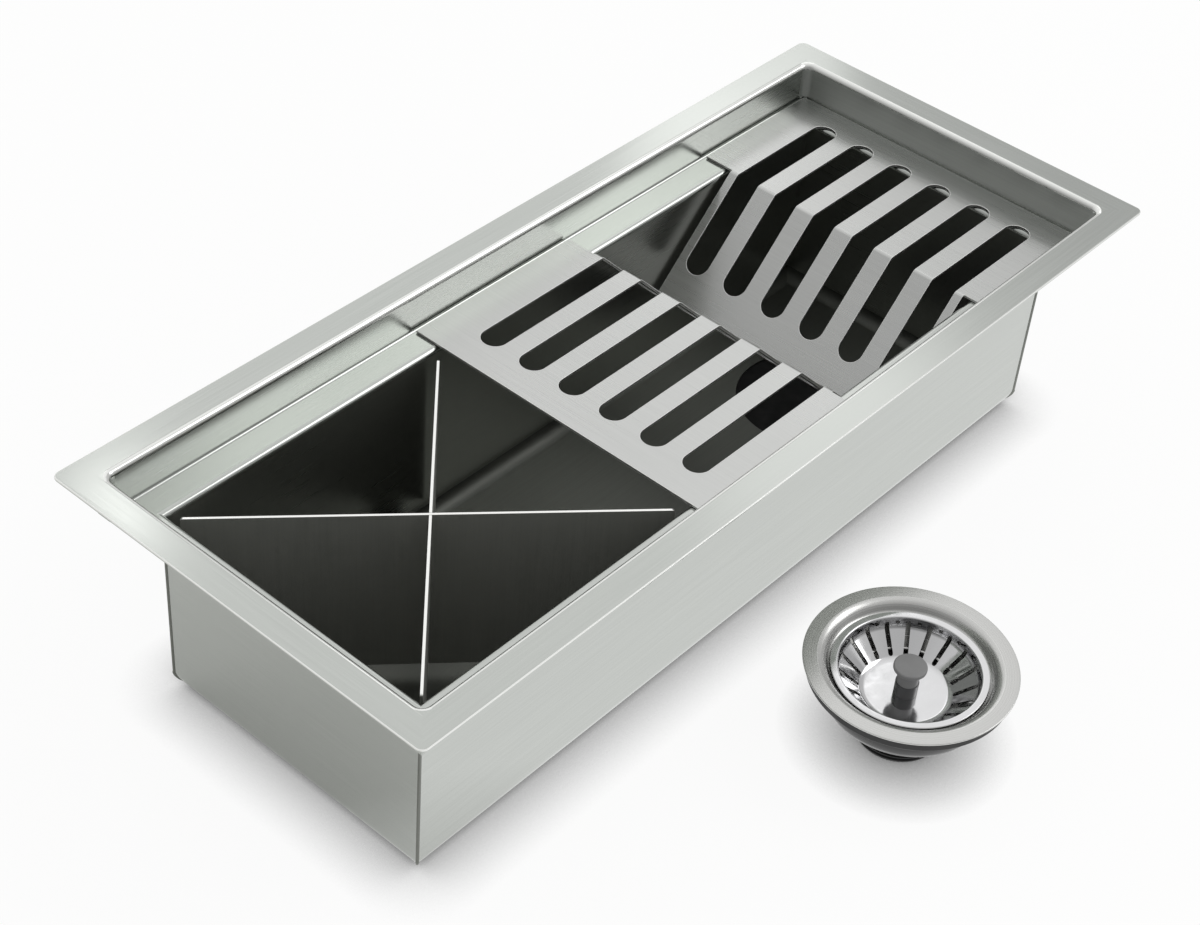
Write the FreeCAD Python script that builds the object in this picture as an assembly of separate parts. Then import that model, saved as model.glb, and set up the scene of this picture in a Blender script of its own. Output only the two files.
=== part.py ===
import FreeCAD, Part
import math
import os

# Wet trough for a kitchen worktop: a folded steel trough with two slotted drainer trays,
# a cross divider and a basket waste valve that stands beside it.
# Millimetres, +Z up, +X along the trough, +Y to its back.
# The origin is on the drain hole's axis, at the trough's underside.
# The pieces are drawn about the trough's middle and then moved to that origin.

Vector = FreeCAD.Vector
UP = Vector(0, 0, 1)

# Trough: folded sheet
LENGTH = 600.0              # over the rim, along X
WIDTH = 255.0               # over the rim, along Y
HEIGHT = 147.0              # rim top above the underside
SHEET = 1.5                 # sheet thickness
RIM_WIDTH = 19.0            # outer edge to step wall
RIM_CORNER_RADIUS = 4.5     # rounded corners of the rim in plan
STEP_DEPTH = 25.0           # rim top down to the ledge
LEDGE_WIDTH = 19.5          # step wall to bowl wall
FOLD_RADIUS = 2.0           # inside radius of the rim, step and ledge folds
BOTTOM_RADIUS = 8.5         # inside radius of the folds round the floor
RETURN_WIDTH = 14.0         # flat return flange under the floor pan

# Drain seat in the floor pan, under the right tray
SEAT_CLEARANCE = 2.8        # flange edge to the side of the seat
SEAT_SLOPE_WIDTH = 4.0      # sloped ring from floor to seat
SEAT_BLEND_WIDTH = 3.0      # flat ring round the slope
HOLE_CLEARANCE = 4.5        # cup to drain hole, all round
DRAIN_END_GAP = 2.2         # ring round the slope to the end panel's return flange

# Drainer trays
TRAY_SHEET = 1.5
TRAY_FOLD_RADIUS = 2.0      # inside radius of the fold
TRAY_SLOPE = 45.0           # degrees below level
RACK_GAP = 123.0            # from fold to fold
VALLEY_GAP = 3.0            # between the two lower edges
LEFT_FLAT = 126.0           # flat length of the left tray
RIGHT_FLAT = 99.5           # flat length of the right tray
TRAY_END_CLEARANCE = 1.5    # right tray to the end step wall
TRAY_SIDE_CLEARANCE = 2.0   # flat parts to the step walls
TRAY_DROP_CLEARANCE = 3.0   # sloped parts to the bowl walls
SLOT_WIDTH = 16.0
SLOT_PITCH = 29.0
SLOT_EDGE = 5.0             # least strip beside the outer slots
LEFT_SLOT_MARGIN = 19.0     # flat edge to slot end, left tray
RIGHT_SLOT_MARGIN = 16.5    # flat edge to slot end, right tray
LOWER_SLOT_MARGIN = 19.0    # lower edge to slot end, both trays

# Cross divider in the left bay
DIVIDER_SHEET = 1.5
DIVIDER_DROP = 3.0          # top edges below the ledge
DIVIDER_END_GAP = 6.5       # plate ends short of the bay's corners
DIVIDER_END_RADIUS = 1.5    # rounded upper ends
DIVIDER_RELIEF = 8.0        # lower edges above the feet
FOOT_WIDTH = 20.0
FOOT_INSET = 12.0           # plate end to foot
LAP_CLEARANCE = 0.1         # half-lap, each side

# Clearance of a lift-off piece above its seat
LIFT_GAP = 0.3

# Waste valve, standing on its tail in front of the trough
VALVE_X = -15.0
VALVE_APART = 19.5          # trough rim to flange edge
TAIL_RADIUS = 23.9          # outside of the 1 1/2 inch pipe thread
TAIL_LENGTH = 20.0
TAIL_WALL = 3.5
BODY_WALL = 2.3
BODY_SEAT_WIDTH = 5.3       # top edge of the body, which carries the gasket
BOWL_HEIGHT = 14.0          # the bowl's curved side, from the tail up
BOWL_FOOT_INSET = 12.6      # bowl side to the edge of its flat underside
BOWL_KNEE_INSET = 3.5       # bowl side to the knee of the curved side
BOWL_KNEE_RISE = 5.6        # underside to the knee
BODY_CUP_CLEARANCE = 1.0    # cup to the body's inside
FLANGE_SHEET = 1.0
FLANGE_BRIM = 10.6          # flat ring of the flange
CROWN_RISE = 5.6            # flange top above the basket's seat
SHOULDER_WIDTH = 3.6        # slanted part between flange top and seat
CUP_RADIUS = 39.2           # inside of the cup
CUP_SEAT_WIDTH = 3.6        # ring that carries the basket's rim
SUMP_STEP = 10.2            # cup's side to the side of its lower part
SUMP_DEPTH = 7.6
CUP_LIFT = 2.1              # the body's bowl floor to the cup
GASKET_INSET = 2.0          # gasket edge inside the flange edge
OUTLET_INSET = 9.0          # side of the cup's lower part to the openings in its floor
OUTLET_HUB_RADIUS = 8.0
SPOKE_WIDTH = 5.0
SPOKES = 4

# Clamp screw and the body's hub that takes it
SCREW_RADIUS = 2.9
SCREW_HEAD_FLATS = 9.0      # across flats
SCREW_HEAD_HEIGHT = 2.0
SCREW_CLEARANCE = 0.1
HUB_WALL = 4.0
HUB_HEIGHT = 13.0
RIB_THICKNESS = 2.5
RIB_HEIGHT = 8.0

# Basket with its stopper and knob
BASKET_SHEET = 0.8
BASKET_RIM_CLEARANCE = 1.0  # rim edge to the flange's slanted part
BASKET_SIDE_CLEARANCE = 0.8 # wall to the cup
BASKET_SUMP_CLEARANCE = 5.5 # basket's floor edge to the side of the cup's lower part
BASKET_WALL = 6.2           # height of the upper wall
BASKET_DEPTH = 17.3         # rim top to floor
BASKET_SLOTS = 20
BASKET_SLOT_WIDTH = 2.6
BASKET_SLOT_DROP = 3.2      # rim top to slot end
SEAL_HEIGHT = 3.8
SEAL_WEB = 0.8              # thin middle of the seal
SEAL_SKIRT = 6.0            # thick outer ring of the seal
SEAL_INSET = 1.2            # seal edge inside the basket's floor
POST_RADIUS = 2.5
POST_CLEARANCE = 0.1
POST_HEAD_RADIUS = 8.0
POST_HEAD_HEIGHT = 0.7
KNOB_RADIUS = 9.0
KNOB_CAP = 2.8              # thickness of the knob's cap
KNOB_HEIGHT = 19.6          # basket floor to knob top
STEM_RADIUS = 5.9
COLLAR_RADIUS = 6.3         # thicker foot of the stem
COLLAR_HEIGHT = 8.0

# Levels and distances that follow from the sizes above
CUP_SEAT_EDGE = CUP_RADIUS + CUP_SEAT_WIDTH
FLANGE_RADIUS = CUP_SEAT_EDGE + SHOULDER_WIDTH + FLANGE_BRIM
SUMP_RADIUS = CUP_RADIUS - SUMP_STEP
OUTLET_RADIUS = SUMP_RADIUS - OUTLET_INSET
BASKET_RIM_RADIUS = CUP_SEAT_EDGE - BASKET_RIM_CLEARANCE
BASKET_RADIUS = CUP_RADIUS - BASKET_SIDE_CLEARANCE - BASKET_SHEET
BASKET_FLOOR_RADIUS = SUMP_RADIUS - BASKET_SUMP_CLEARANCE
BOWL_INSET = RIM_WIDTH + LEDGE_WIDTH
PANEL_DEPTH = BOWL_INSET + BOTTOM_RADIUS + RETURN_WIDTH
LEDGE_Z = HEIGHT - STEP_DEPTH
FLOOR_Z = 2 * SHEET
DRAIN_RADIUS = CUP_RADIUS + FLANGE_SHEET + HOLE_CLEARANCE
SEAT_RADIUS = FLANGE_RADIUS + SEAT_CLEARANCE
SEAT_SLOPE_RADIUS = SEAT_RADIUS + SEAT_SLOPE_WIDTH
SEAT_BLEND_RADIUS = SEAT_SLOPE_RADIUS + SEAT_BLEND_WIDTH
DRAIN_OFFSET = LENGTH / 2 - PANEL_DEPTH - DRAIN_END_GAP - SEAT_BLEND_RADIUS
TRAY_TOP_Z = LEDGE_Z + LIFT_GAP + TRAY_SHEET
RIGHT_TRAY_EDGE = LENGTH / 2 - RIM_WIDTH - TRAY_END_CLEARANCE
RIGHT_FOLD = RIGHT_TRAY_EDGE - RIGHT_FLAT
LEFT_FOLD = RIGHT_FOLD - RACK_GAP
LEFT_TRAY_EDGE = LEFT_FOLD - LEFT_FLAT
VALVE_Y = -(WIDTH / 2 + VALVE_APART + FLANGE_RADIUS)
BOWL_FLOOR_Z = TAIL_LENGTH + BODY_WALL
CUP_FLOOR_Z = BOWL_FLOOR_Z + CUP_LIFT + FLANGE_SHEET
BASKET_FLOOR_Z = CUP_FLOOR_Z + LIFT_GAP + SEAL_HEIGHT + BASKET_SHEET
BASKET_TOP_Z = BASKET_FLOOR_Z + BASKET_DEPTH
CUP_SEAT_Z = BASKET_TOP_Z - BASKET_SHEET - 2 * LIFT_GAP
CROWN_Z = CUP_SEAT_Z + CROWN_RISE
CUP_STEP_Z = CUP_FLOOR_Z + SUMP_DEPTH
BODY_TOP_Z = CUP_SEAT_Z - 2 * FLANGE_SHEET
BODY_INSIDE = CUP_RADIUS + FLANGE_SHEET + BODY_CUP_CLEARANCE
BODY_RADIUS = BODY_INSIDE + BODY_SEAT_WIDTH
KNOB_TOP_Z = BASKET_FLOOR_Z + KNOB_HEIGHT


def across(point_pairs):
    """Points of a section drawn in the XZ plane."""
    return [Vector(x, 0, z) for x, z in point_pairs]


def direction(start, end):
    """Unit vector from start to end."""
    return (end - start).normalize()


def turn(before, corner, after):
    """Positive where a section line turns left at a corner, negative where it turns right."""
    into = direction(before, corner)
    out = direction(corner, after)
    return into.x * out.z - into.z * out.x


def moved_left(points, distance):
    """Corners of an open section line moved to its left by a distance."""
    normals = []
    for start, end in zip(points, points[1:]):
        along = direction(start, end)
        normals.append(Vector(-along.z, 0, along.x))
    moved = [points[0] + normals[0] * distance]
    for corner, first, second in zip(points[1:], normals, normals[1:]):
        moved.append(corner + (first + second) * (distance / (1 + first.dot(second))))
    moved.append(points[-1] + normals[-1] * distance)
    return moved


def rounded_edges(points, radii):
    """Lines and arcs along an open section line, with one radius for each inner corner."""
    edges = []
    start = points[0]
    for before, corner, after, radius in zip(points, points[1:], points[2:], radii):
        into = direction(before, corner)
        out = direction(corner, after)
        half_turn = into.getAngle(out) / 2
        reach = radius * math.tan(half_turn)
        if reach < 1e-6:
            edges.append(Part.makeLine(start, corner))
            start = corner
            continue
        first = corner - into * reach
        last = corner + out * reach
        middle = corner + (out - into).normalize() * (radius / math.cos(half_turn) - radius)
        edges.append(Part.makeLine(start, first))
        edges.append(Part.Arc(first, middle, last).toShape())
        start = last
    edges.append(Part.makeLine(start, points[-1]))
    return edges


def sheet_section(points, inside_radii, thickness):
    """Section of a folded sheet: points run along one face, and the sheet lies to their left.

    A fold with no inside radius is square on both faces.
    """
    near = []
    far = []
    for before, corner, after, radius in zip(points, points[1:], points[2:], inside_radii):
        outside = radius + thickness if radius else 0
        turns_left = turn(before, corner, after) > 0
        near.append(outside if turns_left else radius)
        far.append(radius if turns_left else outside)
    other = moved_left(points, thickness)
    edges = rounded_edges(points, near)
    edges.append(Part.makeLine(points[-1], other[-1]))
    edges += rounded_edges(other[::-1], far[::-1])
    edges.append(Part.makeLine(other[0], points[0]))
    return Part.Face(Part.Wire(edges))


def closed_section(points):
    """Section of a solid: a closed outline."""
    return Part.Face(Part.makePolygon(points + points[:1]))


def turned(section):
    """Solid of revolution about Z."""
    return section.revolve(Vector(0, 0, 0), UP, 360)


def ring(outer_radius, inner_radius, low, high):
    """Plain ring about Z."""
    outside = Part.makeCylinder(outer_radius, high - low, Vector(0, 0, low))
    return outside.cut(Part.makeCylinder(inner_radius, high - low, Vector(0, 0, low)))


def hexagon(flats, low, high):
    """Six-sided bar about Z, by its size across flats."""
    radius = flats / math.sqrt(3)
    corners = [Vector(radius * math.cos(math.radians(60 * k)), radius * math.sin(math.radians(60 * k)), low)
               for k in range(7)]
    return Part.Face(Part.makePolygon(corners)).extrude(UP * (high - low))


def centred_box(length, width, low, high):
    """Box centred on the Z axis, between two levels."""
    return Part.makeBox(length, width, high - low, Vector(-length / 2, -width / 2, low))


def upright_edges(shape):
    """Edges of a prism that run along Z."""
    return [edge for edge in shape.Edges if abs(edge.tangentAt(edge.FirstParameter).z) > 0.999]


def on_valve_axis(shape):
    """Piece of the valve moved from the Z axis to where the valve stands."""
    return shape.translated(Vector(VALVE_X, VALVE_Y, 0))


def side_panel(run, span):
    """Folded side of the trough at -X: run is the trough's size across it, span its size along it.

    The sheet is rim, step wall, ledge, bowl wall and return flange, and its ends are mitred.
    """
    outer = -run / 2
    section = across([
        (outer + PANEL_DEPTH, SHEET),
        (outer + BOWL_INSET, SHEET),
        (outer + BOWL_INSET, LEDGE_Z),
        (outer + RIM_WIDTH, LEDGE_Z),
        (outer + RIM_WIDTH, HEIGHT),
        (outer, HEIGHT),
    ])
    folds = [BOTTOM_RADIUS, FOLD_RADIUS, FOLD_RADIUS, FOLD_RADIUS]
    sheet = sheet_section(section, folds, SHEET).extrude(Vector(0, span, 0))
    sheet.translate(Vector(0, -span / 2, 0))
    inner = outer + PANEL_DEPTH
    mitre = Part.makePolygon([
        Vector(outer, -span / 2, 0),
        Vector(outer, span / 2, 0),
        Vector(inner, span / 2 - PANEL_DEPTH, 0),
        Vector(inner, -span / 2 + PANEL_DEPTH, 0),
        Vector(outer, -span / 2, 0),
    ])
    return sheet.common(Part.Face(mitre).extrude(UP * HEIGHT))


def trough_panels():
    """The four sides of the trough, with the rim's corners rounded."""
    rim = centred_box(LENGTH, WIDTH, 0, HEIGHT)
    rim = rim.makeFillet(RIM_CORNER_RADIUS, upright_edges(rim))
    end = side_panel(LENGTH, WIDTH)
    side = side_panel(WIDTH, LENGTH)
    turns = {
        "left_end_panel": (end, 0),
        "right_end_panel": (end, 180),
        "front_panel": (side, 90),
        "back_panel": (side, -90),
    }
    panels = {}
    for name, (panel, angle) in turns.items():
        panels[name] = panel.rotated(Vector(0, 0, 0), UP, angle).common(rim)
    return panels


def floor_pan():
    """Floor sheet on the return flanges, with a pressed seat round the drain hole."""
    inset = 2 * (BOWL_INSET + BOTTOM_RADIUS)
    drain = Vector(DRAIN_OFFSET, 0, 0)
    plate = centred_box(LENGTH - inset, WIDTH - inset, SHEET, FLOOR_Z)
    plate = plate.cut(Part.makeCylinder(SEAT_BLEND_RADIUS, FLOOR_Z, drain))
    section = across([
        (SEAT_BLEND_RADIUS, FLOOR_Z),
        (SEAT_SLOPE_RADIUS, FLOOR_Z),
        (SEAT_RADIUS, SHEET),
        (DRAIN_RADIUS, SHEET),
    ])
    dish = turned(sheet_section(section, [0, 0], SHEET)).translated(drain)
    return plate.fuse(dish).removeSplitter()


def slot_rows(half_width):
    """Y of each slot: as many as fit on a sheet, centred on it."""
    free = 2 * (half_width - SLOT_EDGE) - SLOT_WIDTH
    count = 1 + int(free // SLOT_PITCH)
    return [(index - (count - 1) / 2) * SLOT_PITCH for index in range(count)]


def drainer_tray(flat, slot_margin):
    """Bent slotted tray with its flat edge at x = 0: the flat part runs to -X and then slopes down.

    The flat part reaches over the ledges, and the sloped part drops between the bowl walls.
    The slots run on round the fold.
    """
    slope = math.radians(TRAY_SLOPE)
    down = Vector(-math.cos(slope), 0, -math.sin(slope))
    slope_length = (RACK_GAP - VALLEY_GAP) / 2 / math.cos(slope)
    flat_half = WIDTH / 2 - RIM_WIDTH - TRAY_SIDE_CLEARANCE
    slope_half = WIDTH / 2 - BOWL_INSET - TRAY_DROP_CLEARANCE
    fold = Vector(-flat, 0, TRAY_TOP_Z)
    fold_reach = (TRAY_FOLD_RADIUS + TRAY_SHEET) * math.tan(slope / 2)

    def bent_strip(start, end, above, thickness, width):
        """Strip of the bent form between two distances from the fold, on the flat and on the slope."""
        top = moved_left([fold + Vector(start, 0, 0), fold, fold + down * end], -above)
        inside = TRAY_FOLD_RADIUS + TRAY_SHEET + above - thickness
        strip = sheet_section(top, [inside], thickness).extrude(Vector(0, width, 0))
        return strip.translated(Vector(0, -width / 2, 0))

    sheet = bent_strip(flat, slope_length, 0, TRAY_SHEET, 2 * slope_half)
    tabs = centred_box(flat - fold_reach, 2 * flat_half, TRAY_TOP_Z - TRAY_SHEET, TRAY_TOP_Z)
    tabs.translate(Vector(-(flat - fold_reach) / 2, 0, 0))
    sheet = sheet.fuse(tabs).removeSplitter()

    radius = SLOT_WIDTH / 2
    flat_end = flat - slot_margin - radius
    slope_end = slope_length - LOWER_SLOT_MARGIN - radius
    over = TRAY_SHEET / 2
    depth = TRAY_SHEET + 2 * over
    face = Vector(down.z, 0, -down.x)
    slot = bent_strip(flat_end, slope_end, over, depth, SLOT_WIDTH)
    upper = Part.makeCylinder(radius, depth, fold + Vector(flat_end, 0, over), -UP)
    lower = Part.makeCylinder(radius, depth, fold + down * slope_end + face * over, -face)
    slot = slot.fuse([upper, lower])
    return sheet.cut([slot.translated(Vector(0, y, 0)) for y in slot_rows(slope_half)])


def drainer_trays():
    """The two trays, face to face on the ledge, with their slopes in a V."""
    right = drainer_tray(RIGHT_FLAT, RIGHT_SLOT_MARGIN)
    left = drainer_tray(LEFT_FLAT, LEFT_SLOT_MARGIN).mirror(Vector(0, 0, 0), Vector(1, 0, 0))
    return {
        "right_drainer_tray": right.translated(Vector(RIGHT_TRAY_EDGE, 0, 0)),
        "left_drainer_tray": left.translated(Vector(LEFT_TRAY_EDGE, 0, 0)),
    }


def divider_plates():
    """Two upright plates along the left bay's diagonals, half-lapped where they cross."""
    bay_start = -LENGTH / 2 + BOWL_INSET
    half_x = (LEFT_TRAY_EDGE - bay_start) / 2
    half_y = WIDTH / 2 - BOWL_INSET
    centre = Vector(bay_start + half_x, 0, 0)
    angle = math.atan2(half_y, half_x)
    half = math.hypot(half_x, half_y) - DIVIDER_END_GAP
    foot_z = FLOOR_Z + LIFT_GAP
    low = foot_z + DIVIDER_RELIEF
    high = LEDGE_Z - DIVIDER_DROP
    middle = (low + high) / 2

    plate = centred_box(2 * half, DIVIDER_SHEET, low, high)
    upper_ends = [edge for edge in plate.Edges
                  if edge.CenterOfMass.z > high - 1e-6 and abs(abs(edge.CenterOfMass.x) - half) < 1e-6]
    plate = plate.makeFillet(DIVIDER_END_RADIUS, upper_ends)
    for side in (-1, 1):
        foot = centred_box(FOOT_WIDTH, DIVIDER_SHEET, foot_z, low)
        plate = plate.fuse(foot.translated(Vector(side * (half - FOOT_INSET - FOOT_WIDTH / 2), 0, 0)))
    plate = plate.removeSplitter()

    crossing = 2 * angle
    lap_width = DIVIDER_SHEET * (1 + abs(math.cos(crossing))) / math.sin(crossing) + 2 * LAP_CLEARANCE
    lower_lap = centred_box(lap_width, 2 * DIVIDER_SHEET, low, middle)
    upper_lap = centred_box(lap_width, 2 * DIVIDER_SHEET, middle, high)
    turns = {
        "divider_plate": (lower_lap, -math.degrees(angle)),
        "divider_cross_plate": (upper_lap, math.degrees(angle)),
    }
    plates = {}
    for name, (lap, degrees) in turns.items():
        plates[name] = plate.cut(lap).rotated(Vector(0, 0, 0), UP, degrees).translated(centre)
    return plates


def valve_flange():
    """Pressed flange and stepped cup in one sheet, with the outlet openings cut round a screw hole."""
    section = across([
        (FLANGE_RADIUS, CROWN_Z),
        (CUP_SEAT_EDGE + SHOULDER_WIDTH, CROWN_Z),
        (CUP_SEAT_EDGE, CUP_SEAT_Z),
        (CUP_RADIUS, CUP_SEAT_Z),
        (CUP_RADIUS, CUP_STEP_Z),
        (SUMP_RADIUS, CUP_STEP_Z),
        (SUMP_RADIUS, CUP_FLOOR_Z),
        (SCREW_RADIUS + SCREW_CLEARANCE, CUP_FLOOR_Z),
    ])
    cup = turned(sheet_section(section, [0] * (len(section) - 2), FLANGE_SHEET))
    outlet = ring(OUTLET_RADIUS, OUTLET_HUB_RADIUS, CUP_FLOOR_Z - 2 * FLANGE_SHEET, CUP_FLOOR_Z)
    for index in range(SPOKES):
        spoke = centred_box(OUTLET_RADIUS, SPOKE_WIDTH, 0, CUP_FLOOR_Z)
        spoke.translate(Vector(OUTLET_RADIUS / 2, 0, 0))
        outlet = outlet.cut(spoke.rotated(Vector(0, 0, 0), UP, index * 360.0 / SPOKES))
    return cup.cut(outlet)


def flange_gasket():
    """Rubber ring under the flange, with an inner foot on the body's top edge."""
    outer = FLANGE_RADIUS - GASKET_INSET
    step = CUP_SEAT_EDGE + SHOULDER_WIDTH + FLANGE_SHEET
    inner = CUP_SEAT_EDGE + FLANGE_SHEET + BODY_CUP_CLEARANCE
    points = across([
        (inner, BODY_TOP_Z),
        (outer, BODY_TOP_Z),
        (outer, CROWN_Z - FLANGE_SHEET),
        (step, CROWN_Z - FLANGE_SHEET),
        (step, CUP_SEAT_Z),
        (inner, CUP_SEAT_Z),
    ])
    return turned(closed_section(points))


def valve_body():
    """Moulded bowl with its tail, and a hub on ribs that takes the clamp screw."""
    bore = TAIL_RADIUS - TAIL_WALL
    sump = SUMP_RADIUS + FLANGE_SHEET + BODY_CUP_CLEARANCE
    points = across([
        (bore, 0),
        (TAIL_RADIUS, 0),
        (TAIL_RADIUS, TAIL_LENGTH),
        (BODY_RADIUS - BOWL_FOOT_INSET, TAIL_LENGTH),
        (BODY_RADIUS - BOWL_KNEE_INSET, TAIL_LENGTH + BOWL_KNEE_RISE),
        (BODY_RADIUS, TAIL_LENGTH + BOWL_HEIGHT),
        (BODY_RADIUS, BODY_TOP_Z),
        (BODY_INSIDE, BODY_TOP_Z),
        (BODY_INSIDE, CUP_STEP_Z - FLANGE_SHEET - BODY_CUP_CLEARANCE),
        (sump, CUP_STEP_Z - FLANGE_SHEET - BODY_CUP_CLEARANCE),
        (sump, BOWL_FLOOR_Z),
        (bore, BOWL_FLOOR_Z),
    ])
    bowl = turned(closed_section(points))
    hub_low = BOWL_FLOOR_Z - HUB_HEIGHT
    hub = Part.makeCylinder(SCREW_RADIUS + HUB_WALL, HUB_HEIGHT, Vector(0, 0, hub_low))
    rib_length = bore + TAIL_WALL / 2
    ribs = []
    for index in range(SPOKES):
        rib = centred_box(rib_length, RIB_THICKNESS, hub_low, hub_low + RIB_HEIGHT)
        rib.translate(Vector(rib_length / 2, 0, 0))
        ribs.append(rib.rotated(Vector(0, 0, 0), UP, index * 360.0 / SPOKES))
    body = bowl.fuse([hub] + ribs).removeSplitter()
    screw_hole = Part.makeCylinder(SCREW_RADIUS + SCREW_CLEARANCE, HUB_HEIGHT, Vector(0, 0, hub_low))
    return body.cut(screw_hole)


def clamp_screw():
    """Hexagon screw through the cup's floor into the body's hub."""
    low = BOWL_FLOOR_Z - HUB_HEIGHT
    shank = Part.makeCylinder(SCREW_RADIUS, CUP_FLOOR_Z - low, Vector(0, 0, low))
    head = hexagon(SCREW_HEAD_FLATS, CUP_FLOOR_Z, CUP_FLOOR_Z + SCREW_HEAD_HEIGHT)
    return shank.fuse(head).removeSplitter()


def strainer_basket():
    """Spun basket with slots that run down its wall and along its cone."""
    wall_foot = BASKET_TOP_Z - BASKET_WALL
    section = across([
        (BASKET_RIM_RADIUS, BASKET_TOP_Z),
        (BASKET_RADIUS, BASKET_TOP_Z),
        (BASKET_RADIUS, wall_foot),
        (BASKET_FLOOR_RADIUS, BASKET_FLOOR_Z),
        (POST_RADIUS + POST_CLEARANCE, BASKET_FLOOR_Z),
    ])
    bowl = turned(sheet_section(section, [0, 0, 0], BASKET_SHEET))
    radius = BASKET_SLOT_WIDTH / 2
    near = BASKET_FLOOR_RADIUS + radius
    far = BASKET_RIM_RADIUS
    top = BASKET_TOP_Z - BASKET_SLOT_DROP - radius
    low = BASKET_FLOOR_Z - 2 * BASKET_SHEET
    slot = Part.makeBox(far - near, BASKET_SLOT_WIDTH, top - low, Vector(near, -radius, low))
    pitch = 360.0 / BASKET_SLOTS
    return bowl.cut([slot.rotated(Vector(0, 0, 0), UP, index * pitch) for index in range(BASKET_SLOTS)])


def basket_knob():
    """Mushroom knob whose post runs down through the basket and the seal to a retaining head."""
    neck = KNOB_TOP_Z - KNOB_CAP
    collar_top = BASKET_FLOOR_Z + COLLAR_HEIGHT
    head_top = BASKET_FLOOR_Z - BASKET_SHEET - SEAL_WEB
    head_low = head_top - POST_HEAD_HEIGHT
    points = across([
        (0, KNOB_TOP_Z),
        (0, head_low),
        (POST_HEAD_RADIUS, head_low),
        (POST_HEAD_RADIUS, head_top),
        (POST_RADIUS, head_top),
        (POST_RADIUS, BASKET_FLOOR_Z),
        (COLLAR_RADIUS, BASKET_FLOOR_Z),
        (COLLAR_RADIUS, collar_top),
        (STEM_RADIUS, collar_top),
        (STEM_RADIUS, neck),
        (KNOB_RADIUS, neck),
        (KNOB_RADIUS, KNOB_TOP_Z),
    ])
    return turned(closed_section(points))


def stopper_seal():
    """Rubber disc under the basket, with a thick ring that closes on the cup's floor."""
    top = BASKET_FLOOR_Z - BASKET_SHEET
    outer = BASKET_FLOOR_RADIUS - SEAL_INSET
    skirt = outer - SEAL_SKIRT
    points = across([
        (POST_RADIUS + POST_CLEARANCE, top),
        (POST_RADIUS + POST_CLEARANCE, top - SEAL_WEB),
        (skirt, top - SEAL_WEB),
        (skirt, top - SEAL_HEIGHT),
        (outer, top - SEAL_HEIGHT),
        (outer, top),
    ])
    return turned(closed_section(points))


def all_parts():
    """Every piece by its node name, with the drain hole's axis as Z axis."""
    parts = {}
    parts.update(trough_panels())
    parts["floor_pan"] = floor_pan()
    parts.update(drainer_trays())
    parts.update(divider_plates())
    valve_pieces = (valve_flange, flange_gasket, valve_body, clamp_screw, strainer_basket, basket_knob,
                    stopper_seal)
    for make in valve_pieces:
        parts[make.__name__] = on_valve_axis(make())
    to_drain = Vector(-DRAIN_OFFSET, 0, 0)
    return {node: shape.translated(to_drain) for node, shape in parts.items()}


os.makedirs("parts", exist_ok=True)
for node, shape in all_parts().items():
    shape.exportStep("parts/" + node + ".step")
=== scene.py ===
"""Looks of the wet trough: brushed steel sheet with eased edges, slotted trays, a cross divider and a basket waste."""

import logging
import math
from dataclasses import dataclass
from enum import Enum, IntEnum
from typing import Callable, Iterable

import bmesh
import bpy
from mathutils import Matrix, Vector


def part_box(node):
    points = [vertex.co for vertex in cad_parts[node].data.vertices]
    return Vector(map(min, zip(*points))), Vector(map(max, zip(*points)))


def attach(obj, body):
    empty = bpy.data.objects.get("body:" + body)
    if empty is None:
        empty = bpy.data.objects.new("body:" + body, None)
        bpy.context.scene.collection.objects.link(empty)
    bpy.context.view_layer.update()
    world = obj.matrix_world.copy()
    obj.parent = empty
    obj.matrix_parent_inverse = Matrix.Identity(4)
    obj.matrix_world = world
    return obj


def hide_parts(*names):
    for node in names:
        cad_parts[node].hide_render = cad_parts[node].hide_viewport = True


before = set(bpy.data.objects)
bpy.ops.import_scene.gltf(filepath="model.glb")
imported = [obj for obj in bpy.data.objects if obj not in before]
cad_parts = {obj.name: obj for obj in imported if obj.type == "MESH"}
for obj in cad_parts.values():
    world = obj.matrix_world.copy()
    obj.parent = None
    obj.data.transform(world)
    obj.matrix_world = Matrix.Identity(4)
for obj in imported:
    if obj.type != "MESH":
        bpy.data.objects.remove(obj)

log = logging.getLogger("wet_trough")
MM = 0.001

# Ranges in which the noise of one layer, of polished waves and of two layers added mostly lies.
NOISE_RANGE = (0.3, 0.7)
NARROW_NOISE_RANGE = (0.35, 0.65)
TWO_NOISES_RANGE = (0.7, 1.3)

Edge = bmesh.types.BMEdge
Face = bmesh.types.BMFace


def linear(colour: str) -> tuple[float, float, float, float]:
    """Linear RGBA of an sRGB hex colour such as "#c0c0bc"."""
    channels = [int(colour[k:k + 2], 16) / 255 for k in (1, 3, 5)]
    red, green, blue = (c / 12.92 if c <= 0.04045 else ((c + 0.055) / 1.055) ** 2.4 for c in channels)
    return red, green, blue, 1.0


def add_node(tree: bpy.types.NodeTree, kind: str, settings: dict | None = None,
             links: dict | None = None) -> bpy.types.Node:
    """Adds a shader node with its settings and links.

    Args:
        tree: Node tree of a material or of the world.
        kind: Blender's name of the node type.
        settings: Values of input sockets, by name or number, or of the node's own properties.
        links: Output sockets that feed this node's inputs, by the input's name or number.

    Returns:
        The new node.
    """
    node = tree.nodes.new(kind)
    for name, value in (settings or {}).items():
        if isinstance(name, int) or name in node.inputs:
            node.inputs[name].default_value = value
        else:
            setattr(node, name, value)
    for name, output in (links or {}).items():
        tree.links.new(output, node.inputs[name])
    return node


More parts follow.
